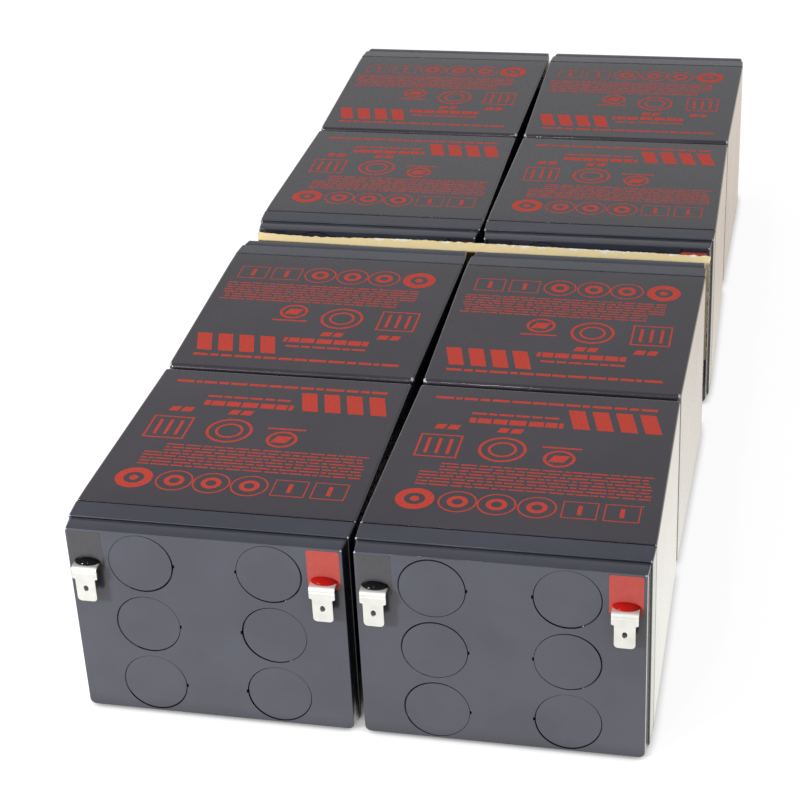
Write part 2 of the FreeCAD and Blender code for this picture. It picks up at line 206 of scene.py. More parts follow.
def moulded(bm, name, cutters=(), softness=0.0, operation="DIFFERENCE"):
    """The finished mesh of a solid: cut with each cutter, edges softened, flat faces kept flat."""
    body = scratch_object(bm, name)
    tools = [scratch_object(cutter, name + "_cutter") for cutter in cutters]
    for tool in tools:
        cut = body.modifiers.new("Carve", "BOOLEAN")
        cut.operation, cut.solver, cut.object = operation, "EXACT", tool
    if softness:
        edges = body.modifiers.new("Soften", "BEVEL")
        edges.width, edges.segments = softness, 2
        edges.limit_method, edges.angle_limit = "ANGLE", SHARP_ANGLE
    body.data.shade_smooth()
    weights = body.modifiers.new("Weights", "WEIGHTED_NORMAL")
    weights.keep_sharp = True
    mesh = bpy.data.meshes.new_from_object(body.evaluated_get(bpy.context.evaluated_depsgraph_get()))
    mesh.name = name
    for thing in (body, *tools):
        bpy.data.objects.remove(thing)
    print(name, "has", open_edges(mesh), "open edges")
    return mesh


def box_in(bm, low, high):
    """A box between two corners, added to a bmesh."""
    size = Vector(high) - Vector(low)
    made = bmesh.ops.create_cube(bm, size=1.0)["verts"]
    bmesh.ops.scale(bm, verts=made, vec=size)
    bmesh.ops.translate(bm, verts=made, vec=(Vector(high) + Vector(low)) / 2)
    return made


def disc_in(bm, x, z, near, far, radius, segments=64):
    """A round solid along the battery's height, added to a bmesh."""
    turned = Matrix.Translation((x, (near + far) / 2, z)) @ Matrix.Rotation(math.pi / 2, 4, "X")
    return bmesh.ops.create_cone(bm, cap_ends=True, segments=segments, radius1=radius, radius2=radius,
                                 depth=far - near, matrix=turned)["verts"]


def show(name, meshes, finishes, slot, *nodes):
    """One piece of the object from placed meshes, riding on the frame in its nodes' stead."""
    bm = bmesh.new()
    for mesh, place in meshes:
        copy = mesh.copy()
        copy.transform(place)
        bm.from_mesh(copy)
        bpy.data.meshes.remove(copy)
    joined = bpy.data.meshes.new(name)
    bm.to_mesh(joined)
    bm.free()
    joined.shade_smooth()
    joined.set_sharp_from_angle(angle=SHARP_ANGLE)
    piece = bpy.data.objects.new(name, joined)
    bpy.context.scene.collection.objects.link(piece)
    for finish in finishes:
        joined.materials.append(finish)
    weights = piece.modifiers.new("Weights", "WEIGHTED_NORMAL")
    weights.keep_sharp = True
    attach(piece, "root")
    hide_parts(*nodes)
    print(name, len(joined.polygons), "faces,", open_edges(joined), "open edges")
    return piece


# %% [markdown]
# ## Shader maths as plain expressions
#
# A finish is easier to read as arithmetic than as wires. Wire holds one output socket and
# overloads the operators, so `1 - mask` adds its Math node by itself. Any other node comes
# from one method, which sets the node up first and then fills or links its sockets.

# %% Wires and finishes
class Wire:
    """An output socket that arithmetic can be done on."""

    def __init__(self, finish, socket):
        self.finish = finish
        self.socket = socket

    def maths(self, operation, first, second, clamp=False):
        settings = {"operation": operation, "use_clamp": clamp}
        return self.finish.node("ShaderNodeMath", settings, {0: first, 1: second})

    def __add__(self, other):
        return self.maths("ADD", self, other)

    def __sub__(self, other):
        return self.maths("SUBTRACT", self, other)

    def __mul__(self, other):
        return self.maths("MULTIPLY", self, other)

    def __rsub__(self, other):
        return self.maths("SUBTRACT", other, self)

    __radd__ = __add__
    __rmul__ = __mul__

    def over(self, edge):
        return self.maths("GREATER_THAN", self, edge)

    def under(self, edge):
        return self.maths("LESS_THAN", self, edge)

    def between(self, low, high):
        """This value taken from a range to the range 0 to 1, and held there."""
        return (self - low).maths("DIVIDE", self - low, high - low, clamp=True)


class Finish:
    """One material while it is made."""

    def __init__(self, name, colour, roughness, **constants):
        self.material = bpy.data.materials.new(name)
        self.material.use_nodes = True
        self.tree = self.material.node_tree
        self.shader = self.tree.nodes["Principled BSDF"]
        self.place = self.node("ShaderNodeTexCoord", {}, {}, "Object")
        self.set("Base Color", colour)
        self.set("Roughness", roughness)
        for key, value in constants.items():
            self.set(key.replace("_", " "), value)

    def node(self, kind, settings, values, output=0):
        """Any node: its settings first, then its sockets' values or links."""
        made = self.tree.nodes.new(kind)
        for key, value in settings.items():
            setattr(made, key, value)
        for key, value in values.items():
            self.feed(made.inputs[key], value)
        return Wire(self, made.outputs[output])

    def feed(self, socket, value):
        if isinstance(value, Wire):
            self.tree.links.new(value.socket, socket)
        elif socket.type == "RGBA":
            socket.default_value = (*value, 1.0)
        else:
            socket.default_value = value

    def set(self, key, value):
        self.feed(self.shader.inputs[key], value)

    def grain(self, per_metre, detail=2.0, stretch=None):
        """Soft noise from 0 to 1, with features about one metre over per_metre in size."""
        place = self.place
        if stretch:
            place = self.node("ShaderNodeMapping", {}, {"Vector": place, "Scale": stretch})
        return self.node("ShaderNodeTexNoise", {}, {"Vector": place, "Scale": per_metre, "Detail": detail})

    def specks(self, per_metre, radius):
        """Sparse round specks of a radius in metres, as a mask."""
        spots = self.node("ShaderNodeTexVoronoi", {}, {"Vector": self.place, "Scale": per_metre})
        chosen = self.grain(per_metre / 3).over(0.56)
        return spots.under(radius * per_metre) * chosen

    def blend(self, factor, first, second):
        """A colour between two, by a factor."""
        settings = {"data_type": "RGBA", "clamp_factor": True}
        return self.node("ShaderNodeMix", settings, {0: factor, 6: first, 7: second}, 2)

    def bump(self, height, distance, strength=1.0):
        values = {"Height": height, "Distance": distance, "Strength": strength}
        self.set("Normal", self.node("ShaderNodeBump", {}, values))


def shade(colour, share):
    """A colour made lighter or darker by a share."""
    return tuple(part * share for part in colour)


# %% [markdown]
# ## The plastics
#
# The jars and lids are dark moulded plastic with a fine, even grain. What tells the two
# apart is how they meet light: the lids' faces are a slightly bluish grey, and the jars are
# almost black with a low sheen that turns pale at a glancing angle. Handling leaves faint
# smears, which are lighter and a little rougher, and a few specks of dust. Painted shade
# darkens the plastic in its cavities and takes its coat away there, and a painted highlight
# makes the upper corners pale.

# %% Plastic finishes
LID_GREY = (0.030, 0.033, 0.051)
JAR_BLACK = (0.025, 0.0205, 0.031)
DUST = (0.55, 0.54, 0.52)
# Painted highlight: the pale colour that stands in for the corners' glints.
GLINT_PALE = (0.62, 0.61, 0.58)


def plastic(name, colour, roughness, cavity, smear_share, speck_share, grain_depth):
    """Moulded plastic with smears, dust specks and a fine grain, and painted shade that makes it dull and
    dark in its cavities.
    """
    finish = Finish(name, colour, roughness, IOR=1.45, Coat_IOR=1.45, Coat_Roughness=0.12)
    smears = finish.grain(28.0, 4.0).between(0.45, 0.75)
    fine = finish.grain(900.0, 3.0)
    toned = finish.blend(smears * 0.8 + fine * 0.2, colour, shade(colour, 1 + smear_share))
    specks = finish.specks(130.0, 0.00022) * speck_share
    # Painted shade: ambient occlusion darkens the colour and takes the coat away in cavities.
    open_to_light = finish.node("ShaderNodeAmbientOcclusion", {"samples": 8}, {"Distance": cavity}, 1)
    dusted = finish.blend(specks, toned, DUST)
    finish.set("Base Color", finish.blend(open_to_light, shade(colour, 0.2), dusted))
    finish.set("Coat Weight", open_to_light)
    finish.set("Roughness", roughness + smears * 0.08 + (fine - 0.5) * 0.1)
    finish.bump(finish.grain(2600.0, 2.0), grain_depth)
    return finish.material


LID_PLASTIC = plastic("lid_plastic", LID_GREY, 0.3, 0.006, 0.6, 0.75, 0.00001)
JAR_PLASTIC = plastic("jar_plastic", JAR_BLACK, 0.25, 0.004, 0.5, 0.6, 0.000004)


def corner_glint_finish():
    """Painted highlight: plastic made pale and rough, standing in for the glints of the corners."""
    finish = Finish("painted_corner_glint", GLINT_PALE, 0.7)
    glint_grain = finish.grain(3000.0, 3.0)
    finish.set("Base Color", finish.blend(glint_grain, shade(GLINT_PALE, 0.6), GLINT_PALE))
    finish.bump(glint_grain, 0.00003)
    return finish.material


CORNER_GLINT = corner_glint_finish()
print("plastics:", LID_PLASTIC.name, JAR_PLASTIC.name)

# %% [markdown]
# ## Jars
#
# A jar is a straight collar below the lid and then tapers a millimetre to its base, so that
# it leaves its mould. The base's edge is rounded. Inside are six cells in two columns of
# three, with thin partitions between them, cut as six boxes.

# %% Model the jar
COLLAR_END = LID_DEPTH + 8.0
BASE_INSET = 1.0
BASE_ROUND = 1.6
JOINT_ROUND = 0.25
JAR_WALL = 2.5
PARTITION = 1.5
GLINT_REACH = 0.55


def cells_cutter(near, far, wall):
    """Six boxes for the cells: outer walls as given, partitions between."""
    bm = bmesh.new()
    cell = (THICKNESS - 2 * JAR_WALL - 2 * PARTITION) / 3
    for column in range(2):
        left = PARTITION / 2 if column else wall - WIDTH / 2
        right = WIDTH / 2 - wall if column else -PARTITION / 2
        for level in range(3):
            low = JAR_WALL + level * (cell + PARTITION)
            high = low + cell
            low = wall if level == 0 else low
            high = THICKNESS - wall if level == 2 else high
            box_in(bm, (left, near, low), (right, far, high))
    return bm


def paint_corner_glints(mesh, places):
    """Give the upper corners' few faces at each depth and inset the second finish, a painted highlight."""
    mesh.materials.append(None)
    mesh.materials.append(None)
    for depth, inset in places:
        for face in mesh.polygons:
            outward = WIDTH / 2 - inset - abs(face.center.x)
            upward = THICKNESS - inset - face.center.z
            if abs(face.center.y - depth) < GLINT_REACH and outward < GLINT_REACH and upward < GLINT_REACH:
                face.material_index = 1


jar_sections = (rounded_in(LID_DEPTH, 0.0, JOINT_ROUND) + [(COLLAR_END, 0.0)]
                + rounded_out(LENGTH, BASE_INSET, BASE_ROUND))
jar_mesh = moulded(solid_of_sections(jar_sections, JAR_RADIUS), "jar",
                   [cells_cutter(LID_DEPTH - 1, LENGTH - JAR_WALL, JAR_WALL)])
# Painted highlights on the jar's upper corners.
paint_corner_glints(jar_mesh, [(LID_DEPTH + 0.1, 0.0), (LENGTH - BASE_ROUND / 2, BASE_INSET + 0.4)])
for (row, side), place in PLACES.items():
    node = "jar_row%d_%s" % (row, side)
    show("moulded_" + node, [(jar_mesh, place)], [JAR_PLASTIC, CORNER_GLINT], "jar", node)

# %% [markdown]
# ## Lids
#
# The lid is the most worked moulding: a narrow rim round the face, a groove, a wider skirt
# that meets the jar, six round recesses for the vent covers and two square ones for the
# terminals. A small notch at the inner side of each vent recess lets gas out. The outline
# comes from sections. One cutter hollows the lid from behind, and two cut its face, because
# the notches run into the vent recesses.

# %% Model the lid
RIM_INSET = 1.2
RIM_ROUND = 0.3
RIM_END = 5.4
RIM_END_INSET = 0.75
GROOVE_INSET = 2.4
SKIRT_START = 6.0
SKIRT_INSET = 0.3
SKIRT_ROUND = 0.45
JOINT_GAP = 0.6
JOINT_INSET = 0.02
NECK_INSET = 1.1
LID_FACE_WALL = 3.4
LID_WALL = 1.8
VENT_RADIUS = 10.1
VENT_GAP = 0.3
VENT_DEPTH = 1.8
NOTCH_INSIDE, NOTCH_OUTSIDE, NOTCH_HALF = 0.5, 0.75, 0.6
VENT_COLUMN = 20.4
VENT_ROW = 22.7
TERMINAL_COLUMN = 37.7
TAB_LEVEL = THICKNESS / 2 + 21.8
SEAL_WIDTH = 10.2
SEAL_LOW = TAB_LEVEL - 2.5
SEAL_HIGH = TAB_LEVEL + 11.1
SEAL_DEPTH = 0.8
VENTS = [(hand * VENT_COLUMN, THICKNESS / 2 + level * VENT_ROW) for hand in (-1, 1) for level in (-1, 0, 1)]

lid_sections = (rounded_in(0.0, RIM_INSET, RIM_ROUND) + [(RIM_END, RIM_END_INSET)]
                + [(RIM_END + 0.1, GROOVE_INSET), (SKIRT_START, GROOVE_INSET)]
                + rounded_in(SKIRT_START, SKIRT_INSET, SKIRT_ROUND)
                + rounded_out(LID_DEPTH - JOINT_GAP, JOINT_INSET, JOINT_ROUND)
                + [(LID_DEPTH - JOINT_GAP, NECK_INSET), (LID_DEPTH, NECK_INSET)])
hollow_cutter = cells_cutter(LID_FACE_WALL, LID_DEPTH + 1, RIM_INSET + LID_WALL)
vent_cutter, notch_cutter = bmesh.new(), bmesh.new()
for x, z in VENTS:
    inner = -math.copysign(1, x)
    disc_in(vent_cutter, x, z, -1, VENT_DEPTH, VENT_RADIUS + VENT_GAP)
    notch_near, notch_far = VENT_RADIUS - NOTCH_INSIDE, VENT_RADIUS + NOTCH_OUTSIDE
    left, right = sorted((x + inner * notch_near, x + inner * notch_far))
    box_in(notch_cutter, (left, -1, z - NOTCH_HALF), (right, VENT_DEPTH - 0.1, z + NOTCH_HALF))
for hand in (-1, 1):
    x = hand * TERMINAL_COLUMN
    box_in(notch_cutter, (x - SEAL_WIDTH / 2, -1, SEAL_LOW), (x + SEAL_WIDTH / 2, SEAL_DEPTH, SEAL_HIGH))
lid_mesh = moulded(solid_of_sections(lid_sections, LID_RADIUS), "lid",
                   [hollow_cutter, vent_cutter, notch_cutter])
# Painted highlights on the lid's upper corners.
paint_corner_glints(lid_mesh, [(0.0, RIM_INSET), (SKIRT_START, SKIRT_INSET)])
for (row, side), place in PLACES.items():
    show("lid_row%d_%s" % (row, side), [(lid_mesh, place)], [LID_PLASTIC, CORNER_GLINT], "lids", "battery_lids")

# %% [markdown]
# ## Vent covers
#
# Each cover is a disc dropped into its recess, never quite in the middle of it, so the
# ring-shaped gap is wide on one side and almost closes on the other. A seeded random shift
# gives every cover its own gap.

# %% Model the covers
COVER_SHIFT = 0.2
COVER_SUNK = 0.04

random.seed(4)
cover = bmesh.new()
disc_in(cover, 0, 0, 0.0, VENT_DEPTH, VENT_RADIUS)
cover_mesh = moulded(cover, "cover", softness=0.12)
covers = []
for place in PLACES.values():
    for x, z in VENTS:
        angle = random.uniform(0, 2 * math.pi)
        shift = COVER_SHIFT * Vector((math.cos(angle), 0.0, math.sin(angle)))
        covers.append((cover_mesh, place @ Matrix.Translation(Vector((x, COVER_SUNK, z)) + shift)))
show("round_vent_covers", covers, [LID_PLASTIC], "vent_covers", "vent_covers")

# %% [markdown]
# ## Terminal tabs
#
# A tab is stamped from tinned brass strip: wide shoulders, a narrower blade with rounded
# corners and a small hole. It comes out of the lid level and bends straight down, so
# the blade is drawn first, its top end is spun through a quarter turn, and the end is then
# extruded back into the lid. A shallow line is coined across it just below the bend.

# %% Model the tab
TAB_THICKNESS = 0.8
TAB_FRONT = -4.0
BEND_INNER = 0.5
SHOULDER_HALF = 4.05
BLADE_HALF = 3.175
BEND_LOW = -BEND_INNER - TAB_THICKNESS / 2
SHOULDER_LOW = TAB_THICKNESS / 2 - 4.2
TIP_LOW = TAB_THICKNESS / 2 - 12.3
HOLE_RADIUS = 0.8
HOLE_LEVEL = TIP_LOW + 4.7
HOLE_STRETCH = 1.4
COIN_LEVELS = (0.35, 0.55, 0.75)
COIN_DEPTH = 0.2


def tab_solid():
    """The bent tab without its hole, level with its own middle plane."""
    bm = bmesh.new()
    half = [(SHOULDER_HALF, BEND_LOW), (SHOULDER_HALF, SHOULDER_LOW), (BLADE_HALF, SHOULDER_LOW),
            (BLADE_HALF, TIP_LOW)]
    corners = half + [(-x, z) for x, z in reversed(half)]
    face = bm.faces.new([bm.verts.new((x, TAB_FRONT, z)) for x, z in corners])
    for level, radius in ((SHOULDER_LOW, 0.4), (TIP_LOW, 1.3)):
        chosen = [vert for vert in bm.verts if abs(vert.co.z - level) < 0.001]
        bmesh.ops.bevel(bm, geom=chosen, affect="VERTICES", offset=radius, segments=4, profile=0.5,
                        material=-1)
    face = next(iter(bm.faces))
    back = bmesh.ops.extrude_face_region(bm, geom=[face])["geom"]
    bmesh.ops.translate(bm, verts=[part for part in back if isinstance(part, bmesh.types.BMVert)],
                        vec=(0, TAB_THICKNESS, 0))
    bmesh.ops.recalc_face_normals(bm, faces=bm.faces)
    end = max(bm.faces, key=lambda each: each.calc_center_median().z)
    spun = bmesh.ops.spin(bm, geom=[end, *end.edges, *end.verts], steps=8, angle=-math.pi / 2,
                          axis=(1, 0, 0), cent=(0, TAB_FRONT + TAB_THICKNESS + BEND_INNER, BEND_LOW))
    end = [part for part in spun["geom_last"] if isinstance(part, bmesh.types.BMFace)][0]
    root = bmesh.ops.extrude_face_region(bm, geom=[end, *end.edges])["geom"]
    moved = [part for part in root if isinstance(part, bmesh.types.BMVert)]
    bmesh.ops.translate(bm, verts=moved, vec=(0, LID_DEPTH + 5 - moved[0].co.y, 0))
    for below in COIN_LEVELS:
        whole = bm.verts[:] + bm.edges[:] + bm.faces[:]
        bmesh.ops.bisect_plane(bm, geom=whole, plane_co=(0, 0, BEND_LOW - below), plane_no=(0, 0, 1))
    for vert in bm.verts:
        if abs(vert.co.z - BEND_LOW + COIN_LEVELS[1]) < 0.01 and vert.co.y < TAB_FRONT + 0.01:
            vert.co.y += COIN_DEPTH
    bmesh.ops.recalc_face_normals(bm, faces=bm.faces)
    return bm


# %% Tinned metal and bare brass
TIN = (0.72, 0.715, 0.68)
BRASS = (0.78, 0.60, 0.30)


def metal(name, colour, roughness, metallic):
    """Rolled strip: fine scratches along the blade and a little dulling."""
    finish = Finish(name, colour, roughness, Metallic=metallic)
    scratches = finish.grain(1500.0, 3.0, stretch=(1.0, 1.0, 0.12))
    dull = finish.grain(260.0, 3.0).between(0.4, 0.8)
    finish.set("Base Color", finish.blend(dull, colour, shade(colour, 0.88)))
    finish.set("Roughness", roughness + dull * 0.12 + (scratches - 0.5) * 0.15)
    finish.bump(scratches, 0.00001)
    return finish.material


TINNED = metal("tinned_brass", TIN, 0.5, 0.55)
CUT_EDGE = metal("cut_brass_edge", BRASS, 0.35, 1.0)

# %% Place the tabs
hole = bmesh.new()
disc_in(hole, 0, 0, TAB_FRONT - 1, TAB_FRONT + 2, HOLE_RADIUS, 32)
bmesh.ops.scale(hole, verts=hole.verts, vec=(1, 1, HOLE_STRETCH))
bmesh.ops.translate(hole, verts=hole.verts, vec=(0, 0, HOLE_LEVEL))
tab_mesh = moulded(tab_solid(), "tab", [hole], 0.07)
tab_mesh.materials.append(TINNED)
tab_mesh.materials.append(CUT_EDGE)
for face in tab_mesh.polygons:
    cut_side = abs(face.normal.x) > 0.8 or face.normal.z < -0.8
    face.material_index = int(cut_side and abs(face.center.x) > HOLE_RADIUS + 0.1)
for pole, hand in (("negative", -1), ("positive", 1)):
    at_terminal = Matrix.Translation((hand * TERMINAL_COLUMN, 0, TAB_LEVEL))
    nodes = ["%s_tab_row%d_%s" % (pole, row, side) for row, side in PLACES]
    show(pole + "_tabs", [(tab_mesh, place @ at_terminal) for place in PLACES.values()],
         [TINNED, CUT_EDGE], "tabs", *nodes)

# %% [markdown]
# ## Resin seals
#
# Each tab is sealed with casting resin: a flat square fill in its recess, red at the
# positive pole and dark at the negative one, and a glossy bead that wells up round the root
# of the tab. The fill's surface is barely uneven, so it catches light softly.

# %% Model a seal
BEAD_HALF = (4.25, 2.8, 1.75)
BEAD_RISE = 0.25
SHORT_FILL = 1.6
FILL_STANDS = 0.05


def seal_mesh_for(pole, short=0.0):
    """The square fill and the bead, as one solid with two finishes."""
    fill = bmesh.new()
    box_in(fill, (-SEAL_WIDTH / 2, -FILL_STANDS, SEAL_LOW - TAB_LEVEL),
           (SEAL_WIDTH / 2, SEAL_DEPTH, SEAL_HIGH - TAB_LEVEL - short))
    upright = [edge for edge in fill.edges
               if abs(edge.verts[0].co.y - edge.verts[1].co.y) > SEAL_DEPTH / 2]
    bmesh.ops.bevel(fill, geom=upright, affect="EDGES", offset=0.5, segments=3, profile=0.5, material=-1)
    bead = bmesh.new()
    made = bmesh.ops.create_uvsphere(bead, u_segments=40, v_segments=24, radius=1.0)["verts"]
    bmesh.ops.scale(bead, verts=made, vec=BEAD_HALF)
    bmesh.ops.translate(bead, verts=made, vec=(0, 0.1, BEAD_RISE))
    mesh = moulded(fill, pole + "_seal", [bead], operation="UNION")
    mesh.materials.append(None)
    mesh.materials.append(None)
    for face in mesh.polygons:
        face.material_index = int(face.center.y < -FILL_STANDS - 0.01)
    return mesh


# %% Resin finishes
PAD_RED = (0.41, 0.062, 0.050)
BEAD_RED = (0.37, 0.009, 0.007)
PAD_DARK = (0.055, 0.053, 0.060)
BEAD_DARK = (0.006, 0.006, 0.007)


def resin(name, colour, roughness, ior, unevenness):
    """Casting resin: a clear depth of colour and a slightly rippled surface."""
    finish = Finish(name, colour, roughness, IOR=ior)
    cloud = finish.grain(500.0, 3.0)
    finish.set("Base Color", finish.blend(cloud, shade(colour, 0.86), shade(colour, 1.14)))
    finish.set("Roughness", roughness + (cloud - 0.5) * 0.12)
    finish.bump(finish.grain(700.0, 2.0), unevenness)
    return finish.material


RESINS = {"positive": [resin("red_resin_fill", PAD_RED, 0.5, 1.4, 0.00004),
                       resin("red_resin_bead", BEAD_RED, 0.1, 1.12, 0.00001)],
          "negative": [resin("dark_resin_fill", PAD_DARK, 0.3, 1.5, 0.00004),
                       resin("dark_resin_bead", BEAD_DARK, 0.08, 1.25, 0.00001)]}
for pole, hand in (("negative", -1), ("positive", 1)):
    at_terminal = Matrix.Translation((hand * TERMINAL_COLUMN, 0, TAB_LEVEL))
    full, low = seal_mesh_for(pole), seal_mesh_for(pole, SHORT_FILL)
    sealed = [(low if row == 3 else full, place @ at_terminal) for (row, side), place in PLACES.items()]
    show(pole + "_resin_seals", sealed, RESINS[pole], pole + "_seals", pole + "_seals")

# %% [markdown]
# ## Printed marks
#
# Each jar's upper side is screen printed in red. The marks here are plain shapes: rings,
# frames, bars and rows of dashes. They are flat faces, given a thickness of less than two
# hundredths of a millimetre and laid on the jar's slight taper, so they stay crisp.

# %% Shapes for the print
INK_THICKNESS = 0.015
RING_STEPS = 48


def label_level(depth):
    """The height of the jar's upper side at a depth."""
    taper = BASE_INSET / (LENGTH - BASE_ROUND - COLLAR_END)
    return THICKNESS - max(0.0, depth - COLLAR_END) * taper


def ring(sheet, x, y, outer, inner):
    loops = []
    for diameter in (outer, inner):
        made = bmesh.ops.create_circle(sheet, cap_ends=False, segments=RING_STEPS, radius=diameter / 2,
                                       matrix=Matrix.Translation((x, y, 0)))["verts"]
        loops += [edge for vert in made for edge in vert.link_edges]
    bmesh.ops.bridge_loops(sheet, edges=list(dict.fromkeys(loops)))


def disc(sheet, x, y, diameter):
    bmesh.ops.create_circle(sheet, cap_ends=True, segments=RING_STEPS // 2, radius=diameter / 2,
                            matrix=Matrix.Translation((x, y, 0)))


def bar(sheet, x, y, width, height, slant=0.0):
    """A filled bar round a point, whose upper edge is shifted by the slant."""
    made = bmesh.ops.create_grid(sheet, x_segments=1, y_segments=1, size=0.5)["verts"]
    bmesh.ops.scale(sheet, verts=made, vec=(width, height, 1))
    for vert in made:
        vert.co.x += slant * vert.co.y / height
    bmesh.ops.translate(sheet, verts=made, vec=(x, y, 0))
    return made


def hollow(sheet, x, y, width, height, line):
    """A rectangular frame with a line of a given thickness."""
    made = bar(sheet, x, y, width, height)
    face = made[0].link_faces[0]
    bmesh.ops.inset_region(sheet, faces=[face], thickness=line, use_boundary=True)
    bmesh.ops.delete(sheet, geom=[face], context="FACES_ONLY")


def dashes(sheet, left, right, y, height):
    """A row of dashes of seeded lengths between two ends."""
    x = left
    while x < right - 1:
        length = min(random.uniform(1.4, 6.5), right - x)
        bar(sheet, x + length / 2, y, length, height)
        x += length + random.uniform(0.5, 0.9)


# %% Lay out the print
ICON_LINE = 0.55
ICON_SIZE = 12.2


def printed_sheet():
    """Every mark of one battery, flat, in the battery's own millimetres."""
    sheet = bmesh.new()
    ring(sheet, -31.1, 29.6, ICON_SIZE, 6.6)
    disc(sheet, -31.1, 29.6, 3.0)
    for x in (-17.7, -5.5, 7.0):
        ring(sheet, x, 29.6, ICON_SIZE, ICON_SIZE - 2 * ICON_LINE)
        ring(sheet, x, 29.6, 6.6, 3.4)
    for x in (20.1, 33.0):
        hollow(sheet, x, 29.8, 11.0, 9.6, ICON_LINE)
        bar(sheet, x, 29.8, 1.4, 5.2)
    for line in range(8):
        dashes(sheet, -33.0 + 6 * (line > 4), 40.6, 38.6 + 1.85 * line, 0.62)
    ring(sheet, 9.6, 59.2, 10.4, 8.4)
    bar(sheet, 9.6, 59.2, 5.2, 4.2, 1.6)
    bar(sheet, 9.6, 66.0, 13.0, 0.9)
    ring(sheet, -9.2, 62.6, 15.6, 13.6)
    ring(sheet, -9.2, 62.6, 9.4, 7.6)
    hollow(sheet, -30.0, 62.4, 14.0, 14.4, 0.9)
    for step in (-1, 0, 1):
        bar(sheet, -30.0 + 3.6 * step, 62.4, 1.1, 9.6)
    for x in (-8.6, -29.4):
        bar(sheet, x - 2.2, 74.8, 3.2, 3.0, 0.8)
        bar(sheet, x + 2.2, 74.8, 3.6, 3.0, 0.8)
    for step in range(4):
        bar(sheet, 12.6 + 7.8 * step, 84.8, 5.4, 12.2, -3.2)
    dashes(sheet, -23.0, 9.0, 80.2, 3.2)
    dashes(sheet, -23.0, 6.0, 84.8, 1.2)
    dashes(sheet, -37.0, 37.4, 94.2, 1.5)
    return sheet


# %% [markdown]
# The ink itself is matt and slightly uneven, as screen ink is: thinner where the mesh of
# the screen left tiny pinholes.

# %% Ink finish and piece
INK_RED = (0.66, 0.050, 0.026)


def ink():
    finish = Finish("red_screen_ink", INK_RED, 0.5)
    patches = finish.grain(1400.0, 2.0).between(0.3, 0.75)
    finish.set("Base Color", finish.blend(patches, INK_RED, shade(INK_RED, 0.78)))
    finish.set("Roughness", 0.45 + patches * 0.15)
    return finish.material


random.seed(11)
sheet = printed_sheet()
bmesh.ops.recalc_face_normals(sheet, faces=sheet.faces)
for face in sheet.faces:
    if face.normal.z < 0:
        face.normal_flip()
raised = bmesh.ops.extrude_face_region(sheet, geom=sheet.faces[:], use_keep_orig=True)["geom"]
bmesh.ops.translate(sheet, verts=[part for part in raised if isinstance(part, bmesh.types.BMVert)],
                    vec=(0, 0, INK_THICKNESS))
for vert in sheet.verts:
    vert.co.z += label_level(vert.co.y)
bmesh.ops.recalc_face_normals(sheet, faces=sheet.faces)
print_mesh = bpy.data.meshes.new("print")
sheet.to_mesh(print_mesh)
sheet.free()
printed = show("printed_marks", [(print_mesh, place) for place in PLACES.values()], [ink()], "jar")

# %% [markdown]
# ## The card strip
#
# A strip of cream card stands in front of the rear block's front terminals, so that nothing
# metal can bridge them. It was torn by hand: its upper edge and right end are ragged, with
# pale fibres showing. Low down, in the gap between the blocks, it gets painted shade, except
# at its right end. It is a thin grid whose edge points are moved by smooth noise, then
# thickened with Solidify. It is drawn thinner than its CAD solid, so that its waves stay inside that.

# %% Model the strip
STRIP_THICKNESS = 0.3
STRIP_WAVES = 0.12
STRIP_TILT = math.radians(0.65)
STRIP_STEPS = (300, 60)
TEAR = 0.4
LEFT_SHORT = 1.1
TRIMMED_LENGTH, TRIMMED_HEIGHT = 0.6, 0.2
SAG_DEPTH, SAG_PLACE, SAG_REACH = 1.2, 68.0, 24.0


def strip_size():
    """The strip's length and height in millimetres, from the box that its tilt makes larger."""
    low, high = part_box("terminal_cover_strip")
    boxed_length, boxed_height = (high.x - low.x) / MM, (high.z - low.z) / MM
    lean, rise, both = math.cos(STRIP_TILT), math.sin(STRIP_TILT), math.cos(2 * STRIP_TILT)
    return ((boxed_length * lean - boxed_height * rise) / both,
            (boxed_height * lean - boxed_length * rise) / both)


def strip_mesh(length, height):
    """The torn sheet without its thickness, standing up round its own middle."""
    bm = bmesh.new()
    bmesh.ops.create_grid(bm, x_segments=STRIP_STEPS[0], y_segments=STRIP_STEPS[1], size=0.5)
    bmesh.ops.rotate(bm, verts=bm.verts, matrix=Matrix.Rotation(math.pi / 2, 3, "X"))
    bmesh.ops.scale(bm, verts=bm.verts, vec=(length - TRIMMED_LENGTH, 1, height - TRIMMED_HEIGHT))
    for vert in bm.verts:
        x, z = vert.co.x, vert.co.z
        up, along = z / height + 0.5, x / length + 0.5
        ragged = noise.noise(Vector((x * 0.45, 3.0, 0.0))) + 0.6 * noise.noise(Vector((x * 1.7, 9.0, 0.0)))
        torn = noise.noise(Vector((z * 0.3, 17.0, 0.0))) + 0.6 * noise.noise(Vector((z * 1.2, 23.0, 0.0)))
        sag = SAG_DEPTH * math.exp(-((x + SAG_PLACE) / SAG_REACH) ** 2)
        vert.co.z += (TEAR * ragged - sag) * max(0.0, up - 0.8) * 5
        vert.co.x += 2 * TEAR * torn * max(0.0, along - 0.98) * 50 + LEFT_SHORT * (1 - along)
        vert.co.y += STRIP_WAVES * noise.noise(Vector((x * 0.03, z * 0.05, 5.0)))
    return bm


# %% Card finish
CARD = (0.85, 0.70, 0.38)
CARD_WHITE = (0.88, 0.84, 0.76)
# Painted shade: below this level the card is darkened, except near its right end.
SHADE_PAINTED_FROM = 0.0036
SHADE_PAINTED_OVER = 0.0006
UNSHADED_END = 0.006


